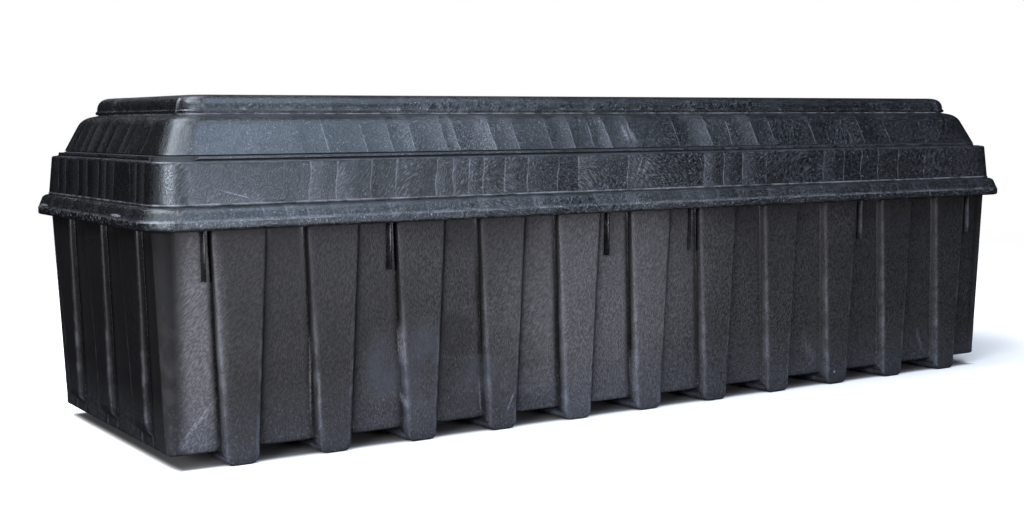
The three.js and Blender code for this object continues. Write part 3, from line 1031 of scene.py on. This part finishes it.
def chill_lines(tree, place, grain, ends, fading):
    """The broken pale line on each chill mark, and the veil that thins out beside it; both are weaker on the
    ends as painted shade, and the veil also fades towards the right as painted shade.
    """
    count = attribute(tree, "chill")
    mark = attribute(tree, "mark")
    from_line = times(maths("PINGPONG", count, 0.5), attribute(tree, "gap"))
    broken = ranged(cloud(place, 40.0), 0.35, 0.65, *CHILL_LINE)
    shown = ranged(mark, 0.5, 0.8)
    line = times(ranged(from_line, 0.0, CHILL_LINE_WIDTH, 1.0, 0.0), shown, broken, ends)
    band_number = {"W": maths("FLOOR", count)}
    tone = add_node(tree, "TexWhiteNoise", band_number, noise_dimensions="1D").outputs["Value"]
    thinning = ranged(maths("FRACT", count), 0.0, 0.8, 1.0, 0.0)
    covered = times(thinning, tone, mark, ends, ranged(fading, FAR_HAIR, 1.0, 0.35, 1.0))
    return line, times(covered, ranged(grain, 0.0, 1.0, *LID_VEIL))


def lid_wear(tree, place, grain, sides, out_of_painted_groove_shade):
    """The pale specks of the lid, its pale edges that are partly rubbed wear and partly painted highlight,
    its scuffs and its chips; the spots thin out in painted shade.
    """
    speck = ranged(cloud(place, 230.0, 3.0, 0.7), 0.54, 0.70)
    spots = ranged(cloud(place, 240.0, 1.0), 0.66, 0.74, 0.0, LID_SPOTS)
    worn = added(times(attribute(tree, "wear"), speck, LID_SPECKS), times(spots, sides, out_of_painted_groove_shade))
    rubbed_and_highlit = times(attribute(tree, "edge"), ranged(cloud(place, 40.0), 0.35, 0.65, *LID_RUBBED_AND_HIGHLIT))
    scuffs = times(scuffed(place, LID_SCUFFS), ranged(grain, 0.0, 1.0, 0.35, 1.0))
    chips = [patch(place, middle, size, 0.6) for middle, size in LIP_CHIPS]
    chipped = times(added(*chips), ranged(speck, 0.0, 1.0, 0.5, 1.2))
    return worn, rubbed_and_highlit, scuffs, chipped


def lid_plastic():
    """Black sheet with a swirling hair-cell grain, upright chill marks and pale edges that are partly worn
    and partly painted highlight, with painted shade in its grooves and on its ends.
    """
    material, tree, shader = new_material("swirled_black_plastic")
    place = object_place(tree)
    drawn = swirled(place, *LID_SWIRL)
    grain = crossed_hairs(drawn, LID_HAIRS, ranged(cloud(place, 7.0), 0.45, 0.55), 0.46, 0.62)
    clumps = ranged(cloud(drawn, 110.0), 0.36, 0.64, 0.5, 1.3)
    patchy = ranged(cloud(place, 4.0), 0.35, 0.68)
    # Painted shade: the ends keep less dust, veil and chill lines so they read dark, and fading thins the
    # dust towards the right end
    end = attribute(tree, "end")
    sides = ranged(end, 0.2, 0.9, 1.0, 0.1)
    ends = ranged(end, 0.2, 0.9, 1.0, 0.35)
    fading = ranged(axis_of(place, "X"), -0.1, 0.8, 1.0, FAR_HAIR)
    shade = attribute(tree, "shade")
    # Painted shade: the shade layer thins the dust in the grooves, on the roof strip and at the tier feet,
    # so they read dark
    out_of_painted_groove_shade = ranged(shade, 0.0, 1.0, 1.0, 0.3)
    hair = times(grain, clumps, ranged(patchy, 0.0, 1.0, *LID_HAIR), sides, fading, out_of_painted_groove_shade)
    line, veil = chill_lines(tree, place, grain, ends, fading)
    worn, *marks = lid_wear(tree, place, grain, sides, out_of_painted_groove_shade)
    dust = added(hair, veil, greatest(line, worn), *marks)
    level = added(ranged(grain, 0.0, 1.0, *LID_ROUGHNESS), times(patchy, 0.05))
    level = times(level, ranged(end, 0.7, 1.0, 1.0, 0.75))
    feed(shader, {
        "Base Color": blend_colours(dust, BLACK, CHALK),
        "Roughness": added(level, ranged(shade, 0.75, 1.0, 0.0, 0.35)),
        "Specular Tint": LID_SHEEN,
        "Normal": grained(grain, LID_BUMP)})
    return material


def base_grain(place):
    """Upright hairs, slanted ones by the near corner and here and there."""
    some = ranged(cloud(place, 5.0), 0.45, 0.62)
    lean = greatest(patch(place, *SLANTED), times(some, 0.6))
    return crossed_hairs(swirled(place, *BASE_SWIRL), BASE_HAIRS, lean, 0.44, 0.60)


def cloudy_smudges(place):
    clouds = ranged(cloud(place, 11.0, 4.0, 0.6), 0.40, 0.62, 0.25, 1.0)
    smudges = [patch(place, middle, size, 0.35) for middle, size in SMUDGES]
    return times(maths("MINIMUM", added(*smudges), 1.0), clouds)


def base_dust(place, grain, along, clear, smudge):
    """Dust that lies in the grain, wiped off here and there, and the film over it; the dust thins towards
    the right as painted shade, and clear takes it out of the creases and the ends as painted shade.
    """
    patchy = ranged(cloud(place, 3.2), 0.32, 0.68, *BASE_HAIR)
    # Painted shade: less dust towards the right end
    fading = ranged(along, -0.2, 1.0, 1.0, 0.55)
    kept = ranged(greatest(smudge, patch(place, *WIPED, 0.5)), 0.0, 1.0, 1.0, 0.55)
    hair = times(ranged(grain, 0.0, 1.0, 0.2, 0.9), fading, clear, patchy, kept)
    front = times(patch(place, *DUSTY_FRONT, 0.2), FRONT_FILM)
    panel = times(patch(place, *DUSTY_PANEL, 0.3), PANEL_FILM)
    return hair, times(added(front, panel), clear, ranged(grain, 0.0, 1.0, 0.35, 0.75))


def rubbed_and_highlit_rib_edges(place, along, edge):
    """Pale edges of the ribs, partly rubbed wear and partly painted highlight, fainter higher up."""
    rubbed_and_highlit = times(edge, ranged(cloud(place, 30.0), 0.40, 0.65, *BASE_RUBBED_AND_HIGHLIT))
    high = ranged(along, -0.1, 0.4, 0.1, 0.35)
    return times(rubbed_and_highlit, ranged(axis_of(place, "Z"), PALE_EDGE_LOW_Z, PALE_EDGE_HIGH_Z, 1.0, high))


def base_plastic():
    """Black sheet with an upright hair-cell grain, dusty, scuffed and specked near the ground, with pale rib
    edges that are partly painted highlight, and painted shade in the creases, on the fins and on the ends.
    """
    material, tree, shader = new_material("upright_grained_black_plastic")
    place = object_place(tree)
    grain = base_grain(place)
    along = axis_of(place, "X")
    # Painted shade on the ends: their dust is cleared so they read dark
    end = ranged(maths("ABSOLUTE", along), SHADED_END_X, SHADED_END_X + SHADED_END_FADE)
    # Painted shade: the crease clears dust and film from the rib creases and the fins, weaker towards the
    # right; clear carries this shade and that of the ends
    crease = times(attribute(tree, "crease"), ranged(along, -0.1, 0.5, 1.0, 0.4))
    clear = times(ranged(crease, 0.0, 1.0, 1.0, 0.0), ranged(end, 0.0, 1.0, 1.0, 0.12))
    smudge = cloudy_smudges(place)
    hair, film = base_dust(place, grain, along, clear, smudge)
    low = attribute(tree, "low")
    edge = attribute(tree, "edge")
    # Pale rib edges: partly rubbed wear and partly painted highlight, also tinted blue
    rubbed_and_highlit = rubbed_and_highlit_rib_edges(place, along, edge)
    speck = ranged(cloud(place, 190.0, 3.0, 0.7), 0.55, 0.70)
    worn = times(speck, added(times(edge, EDGE_SPECKS), times(low, LOW_SPECKS)))
    scuffs = times(scuffed(place, BASE_SCUFFS), ranged(grain, 0.0, 1.0, 0.4, 1.0))
    blue = added(greatest(smudge, low), rubbed_and_highlit)
    tinted = added(times(low, LOW_TINT), times(smudge, SMUDGE_TINT), times(rubbed_and_highlit, PALE_EDGE_TINT))
    dust = added(hair, film, worn, scuffs, tinted)
    colour = blend_colours(blue, GREY_DUST, BLUE_DUST)
    smooth = ranged(greatest(crease, times(end, 0.5)), 0.0, 1.0, 1.0, 0.5)
    matt = times(attribute(tree, "corner"), CORNER_MATT)
    feed(shader, {
        "Base Color": blend_colours(dust, BLACK, colour),
        "Roughness": added(times(ranged(grain, 0.0, 1.0, *BASE_ROUGHNESS), smooth), matt),
        "Specular IOR Level": BASE_SPECULAR,
        "Normal": grained(grain, times(clear, BASE_BUMP))})
    return material


# Stage: floor, light and camera

FLOOR_RADIUS, FLOOR_FADE = 7.0, (2.2, 6.0)
WHITE = (1.0, 1.0, 1.0, 1.0)
PALE_GROUND, SHADED_GROUND = (0.86, 0.86, 0.86, 1.0), (0.10, 0.10, 0.10, 1.0)
GROUND_ROUGHNESS, GROUND_GLOW, SHADED_EDGE = 0.9, 0.62, 0.03
FOOTPRINT, FOOTPRINT_FADE = (1.35, 0.6, 1.0), (0.85, 1.5)
DIM_SKY, DIM_SKY_STRENGTH = (0.85, 0.92, 1.0, 1.0), 0.008
LIGHT_AIM, LIGHT_DISTANCE = Vector((0.0, 0.0, 0.3)), 4.5

# Soft boxes round the vault: azimuth 0 is straight in front, -90 off the left end
SoftBox = namedtuple("SoftBox", "name azimuth elevation width height power colour")
SOFT_BOXES = (
    SoftBox("front_low", 2, 4, 1.6, 0.9, 105, (0.90, 0.90, 1.0)),
    SoftBox("left_front", -22, 26, 1.6, 1.8, 57, (0.88, 0.91, 1.0)),
    SoftBox("front_high", 8, 48, 1.9, 1.8, 112, (0.70, 0.82, 1.0)),
    SoftBox("left_low", -60, 8, 1.6, 0.9, 200, (0.95, 0.95, 1.0)),
    SoftBox("left_middle", -50, 48, 1.6, 1.8, 80, (0.90, 0.93, 1.0)),
    SoftBox("left_high", -94, 48, 1.6, 1.8, 215, (0.93, 0.95, 1.0)),
    SoftBox("over", 30, 72, 1.8, 1.8, 60, (0.78, 0.86, 1.0)),
    SoftBox("back", 222, 60, 1.8, 1.8, 130, (0.90, 0.93, 1.0)))


def pale_ground():
    """Pale, with a painted shadow under the vault and a glow that fades out near the vault as painted
    shadow, and clear far out.
    """
    material, tree, shader = new_material("pale_floor")
    place = object_place(tree)
    away = vector_maths("ABSOLUTE", {0: place})
    past_end = maths("SUBTRACT", axis_of(away, "X"), HALF_LENGTH - END_INSET_LOW)
    past_side = maths("SUBTRACT", axis_of(away, "Y"), HALF_WIDTH - SIDE_RIB_INSET_LOW)
    open_ground = ranged(greatest(past_end, past_side), -SHADED_EDGE, 0.0)
    # Painted shadow round the vault: the glow is zero inside this oval and rises outside it
    beside = vector_maths("LENGTH", {0: local_place(place, Scale=FOOTPRINT)}, "Value")
    distance = vector_maths("LENGTH", {0: place}, "Value")
    feed(shader, {
        "Base Color": blend_colours(open_ground, SHADED_GROUND, PALE_GROUND),
        "Roughness": GROUND_ROUGHNESS,
        "Emission Color": WHITE,
        "Emission Strength": ranged(beside, *FOOTPRINT_FADE, 0.0, GROUND_GLOW),
        "Alpha": ranged(distance, *FLOOR_FADE, 1.0, 0.0)})
    return material


def pale_floor():
    """A pale ground that fades out into the white around it."""
    bm = bmesh.new()
    bmesh.ops.create_circle(bm, cap_ends=True, segments=96, radius=FLOOR_RADIUS)
    mesh = bpy.data.meshes.new("pale_floor")
    bm.to_mesh(mesh)
    bm.free()
    mesh.materials.append(pale_ground())
    floor = bpy.data.objects.new("pale_floor", mesh)
    bpy.context.collection.objects.link(floor)
    floor.visible_diffuse = False
    floor.visible_glossy = False


def soft_light(box):
    turn, rise = math.radians(box.azimuth), math.radians(box.elevation)
    way = Vector((math.sin(turn) * math.cos(rise), -math.cos(turn) * math.cos(rise), math.sin(rise)))
    light = bpy.data.lights.new(box.name, "AREA")
    light.shape = "RECTANGLE"
    light.size = box.width
    light.size_y = box.height
    light.energy = box.power
    light.color = box.colour
    lamp = bpy.data.objects.new(box.name, light)
    lamp.location = LIGHT_AIM + way * LIGHT_DISTANCE
    lamp.rotation_euler = (-way).to_track_quat("-Z", "Y").to_euler()
    bpy.context.collection.objects.link(lamp)


def white_world():
    """White to the camera, and a dim even light on the vault."""
    world = bpy.data.worlds.new("studio")
    bpy.context.scene.world = world
    world.use_nodes = True
    tree = world.node_tree
    tree.nodes.clear()
    seen = add_node(tree, "Background", {"Color": WHITE, "Strength": 1.0})
    dim = add_node(tree, "Background", {"Color": DIM_SKY, "Strength": DIM_SKY_STRENGTH})
    ray = add_node(tree, "LightPath").outputs["Is Camera Ray"]
    both = add_node(tree, "MixShader", {0: ray, 1: dim.outputs[0], 2: seen.outputs[0]})
    add_node(tree, "OutputWorld", {"Surface": both.outputs[0]})


def photo_camera():
    yaw, pitch, roll = (math.radians(angle) for angle in (CAMERA_YAW, CAMERA_PITCH, CAMERA_ROLL))
    turn = Matrix.Rotation(-yaw, 4, "Z") @ Matrix.Rotation(math.pi / 2 - pitch, 4, "X")
    lens = bpy.data.cameras.new("photo_camera")
    lens.sensor_width = CAMERA_SENSOR
    lens.lens = CAMERA_LENS
    camera = bpy.data.objects.new("photo_camera", lens)
    camera.matrix_world = Matrix.Translation(CAMERA_PLACE) @ turn @ Matrix.Rotation(-roll, 4, "Z")
    bpy.context.collection.objects.link(camera)
    bpy.context.scene.camera = camera


build_base(base_plastic())
build_lid(lid_plastic())
pale_floor()
white_world()
for box in SOFT_BOXES:
    soft_light(box)
photo_camera()
bpy.context.scene.view_settings.view_transform = "Standard"

bpy.context.view_layer.update()
